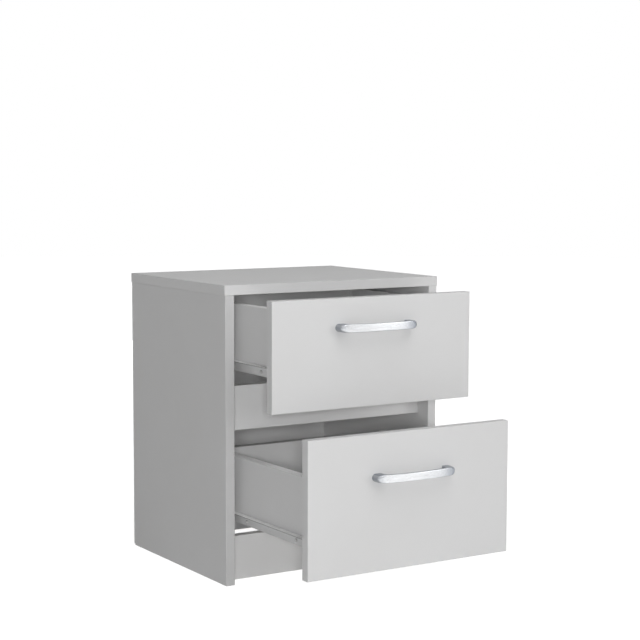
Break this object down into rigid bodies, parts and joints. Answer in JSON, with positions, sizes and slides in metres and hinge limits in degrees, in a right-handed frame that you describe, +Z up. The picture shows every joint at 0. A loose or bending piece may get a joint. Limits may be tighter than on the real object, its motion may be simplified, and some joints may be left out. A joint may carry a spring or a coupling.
{
  "type": "two-drawer nightstand",
  "caption": "Flat-pack bedside cabinet with stacked inset drawers on roller runners and satin bow handles, for a bedroom",
  "frame": {"origin": "On the floor, at the centre of the box round the whole nightstand as pictured, with both drawers partly open", "axes": "+X to the viewer's right facing the drawers, +Y from the drawer fronts towards the back panel, +Z up"},
  "size_m": [0.41, 0.58, 0.48],
  "materials": {
    "front_melamine": "white melamine-faced chipboard with matching edging, satin",
    "melamine": "white melamine-faced chipboard, fine pearl texture",
    "hardboard": "thin hardboard, painted white on the inner face",
    "runner_steel": "white epoxy-coated pressed steel sheet",
    "roller_plastic": "off-white nylon",
    "satin_metal": "satin nickel plating",
    "zinc_fitting": "bright zinc plating",
    "beech": "plain beech"
  },
  "bodies": {
    "carcass": {"top_panel": "front_melamine", "left_side_panel": "melamine", "right_side_panel": "melamine", "back_panel": "hardboard", "middle_rail": "melamine", "kick_rail": "melamine", "top_left_front_cam": "zinc_fitting", "top_left_front_cam_bolt": "zinc_fitting", "top_left_rear_cam": "zinc_fitting", "top_left_rear_cam_bolt": "zinc_fitting", "top_right_front_cam": "zinc_fitting", "top_right_front_cam_bolt": "zinc_fitting", "top_right_rear_cam": "zinc_fitting", "top_right_rear_cam_bolt": "zinc_fitting", "middle_rail_left_cam": "zinc_fitting", "middle_rail_left_cam_bolt": "zinc_fitting", "middle_rail_right_cam": "zinc_fitting", "middle_rail_right_cam_bolt": "zinc_fitting", "kick_rail_left_cam": "zinc_fitting", "kick_rail_left_cam_bolt": "zinc_fitting", "kick_rail_right_cam": "zinc_fitting", "kick_rail_right_cam_bolt": "zinc_fitting", "left_front_dowel": "beech", "left_rear_dowel": "beech", "right_front_dowel": "beech", "right_rear_dowel": "beech", "upper_left_cabinet_runner": "runner_steel", "upper_right_cabinet_runner": "runner_steel", "lower_left_cabinet_runner": "runner_steel", "lower_right_cabinet_runner": "runner_steel"},
    "upper_drawer": {"upper_drawer_front": "front_melamine", "upper_drawer_left_side": "melamine", "upper_drawer_right_side": "melamine", "upper_drawer_rear": "melamine", "upper_drawer_bottom": "hardboard", "upper_handle": "satin_metal", "upper_handle_left_screw": "zinc_fitting", "upper_handle_right_screw": "zinc_fitting", "upper_left_drawer_runner": "runner_steel", "upper_right_drawer_runner": "runner_steel"},
    "lower_drawer": {"lower_drawer_front": "front_melamine", "lower_drawer_left_side": "melamine", "lower_drawer_right_side": "melamine", "lower_drawer_rear": "melamine", "lower_drawer_bottom": "hardboard", "lower_handle": "satin_metal", "lower_handle_left_screw": "zinc_fitting", "lower_handle_right_screw": "zinc_fitting", "lower_left_drawer_runner": "runner_steel", "lower_right_drawer_runner": "runner_steel"},
    "upper_left_front_roller_body": {"upper_left_front_roller": "roller_plastic"},
    "upper_right_front_roller_body": {"upper_right_front_roller": "roller_plastic"},
    "lower_left_front_roller_body": {"lower_left_front_roller": "roller_plastic"},
    "lower_right_front_roller_body": {"lower_right_front_roller": "roller_plastic"},
    "upper_left_rear_roller_body": {"upper_left_rear_roller": "roller_plastic"},
    "upper_right_rear_roller_body": {"upper_right_rear_roller": "roller_plastic"},
    "lower_left_rear_roller_body": {"lower_left_rear_roller": "roller_plastic"},
    "lower_right_rear_roller_body": {"lower_right_rear_roller": "roller_plastic"}
  },
  "joints": [
    {"name": "upper_drawer_slide", "type": "slide", "parent": "carcass", "child": "upper_drawer", "axis": [0, -1, 0], "range_m": [-0.115, 0.113]},
    {"name": "lower_drawer_slide", "type": "slide", "parent": "carcass", "child": "lower_drawer", "axis": [0, -1, 0], "range_m": [-0.219, 0.009]},
    {"name": "upper_left_front_roller_turn", "type": "hinge", "parent": "carcass", "child": "upper_left_front_roller_body", "pos_m": [-0.1831, -0.01795, 0.3503], "axis": [1, 0, 0], "continuous": true},
    {"name": "upper_right_front_roller_turn", "type": "hinge", "parent": "carcass", "child": "upper_right_front_roller_body", "pos_m": [0.1831, -0.01795, 0.3503], "axis": [1, 0, 0], "continuous": true},
    {"name": "lower_left_front_roller_turn", "type": "hinge", "parent": "carcass", "child": "lower_left_front_roller_body", "pos_m": [-0.1831, -0.01795, 0.1061], "axis": [1, 0, 0], "continuous": true},
    {"name": "lower_right_front_roller_turn", "type": "hinge", "parent": "carcass", "child": "lower_right_front_roller_body", "pos_m": [0.1831, -0.01795, 0.1061], "axis": [1, 0, 0], "continuous": true},
    {"name": "upper_left_rear_roller_turn", "type": "hinge", "parent": "upper_drawer", "child": "upper_left_rear_roller_body", "pos_m": [-0.1831, 0.14705, 0.3486], "axis": [1, 0, 0], "continuous": true},
    {"name": "upper_right_rear_roller_turn", "type": "hinge", "parent": "upper_drawer", "child": "upper_right_rear_roller_body", "pos_m": [0.1831, 0.14705, 0.3486], "axis": [1, 0, 0], "continuous": true},
    {"name": "lower_left_rear_roller_turn", "type": "hinge", "parent": "lower_drawer", "child": "lower_left_rear_roller_body", "pos_m": [-0.1831, 0.04305, 0.1044], "axis": [1, 0, 0], "continuous": true},
    {"name": "lower_right_rear_roller_turn", "type": "hinge", "parent": "lower_drawer", "child": "lower_right_rear_roller_body", "pos_m": [0.1831, 0.04305, 0.1044], "axis": [1, 0, 0], "continuous": true}
  ],
  "couplings": [
    {"joint": "upper_left_front_roller_turn", "follows": "upper_drawer_slide", "rad_per_m": 133.33},
    {"joint": "upper_right_front_roller_turn", "follows": "upper_drawer_slide", "rad_per_m": 133.33},
    {"joint": "upper_left_rear_roller_turn", "follows": "upper_drawer_slide", "rad_per_m": 133.33},
    {"joint": "upper_right_rear_roller_turn", "follows": "upper_drawer_slide", "rad_per_m": 133.33},
    {"joint": "lower_left_front_roller_turn", "follows": "lower_drawer_slide", "rad_per_m": 133.33},
    {"joint": "lower_right_front_roller_turn", "follows": "lower_drawer_slide", "rad_per_m": 133.33},
    {"joint": "lower_left_rear_roller_turn", "follows": "lower_drawer_slide", "rad_per_m": 133.33},
    {"joint": "lower_right_rear_roller_turn", "follows": "lower_drawer_slide", "rad_per_m": 133.33}
  ]
}
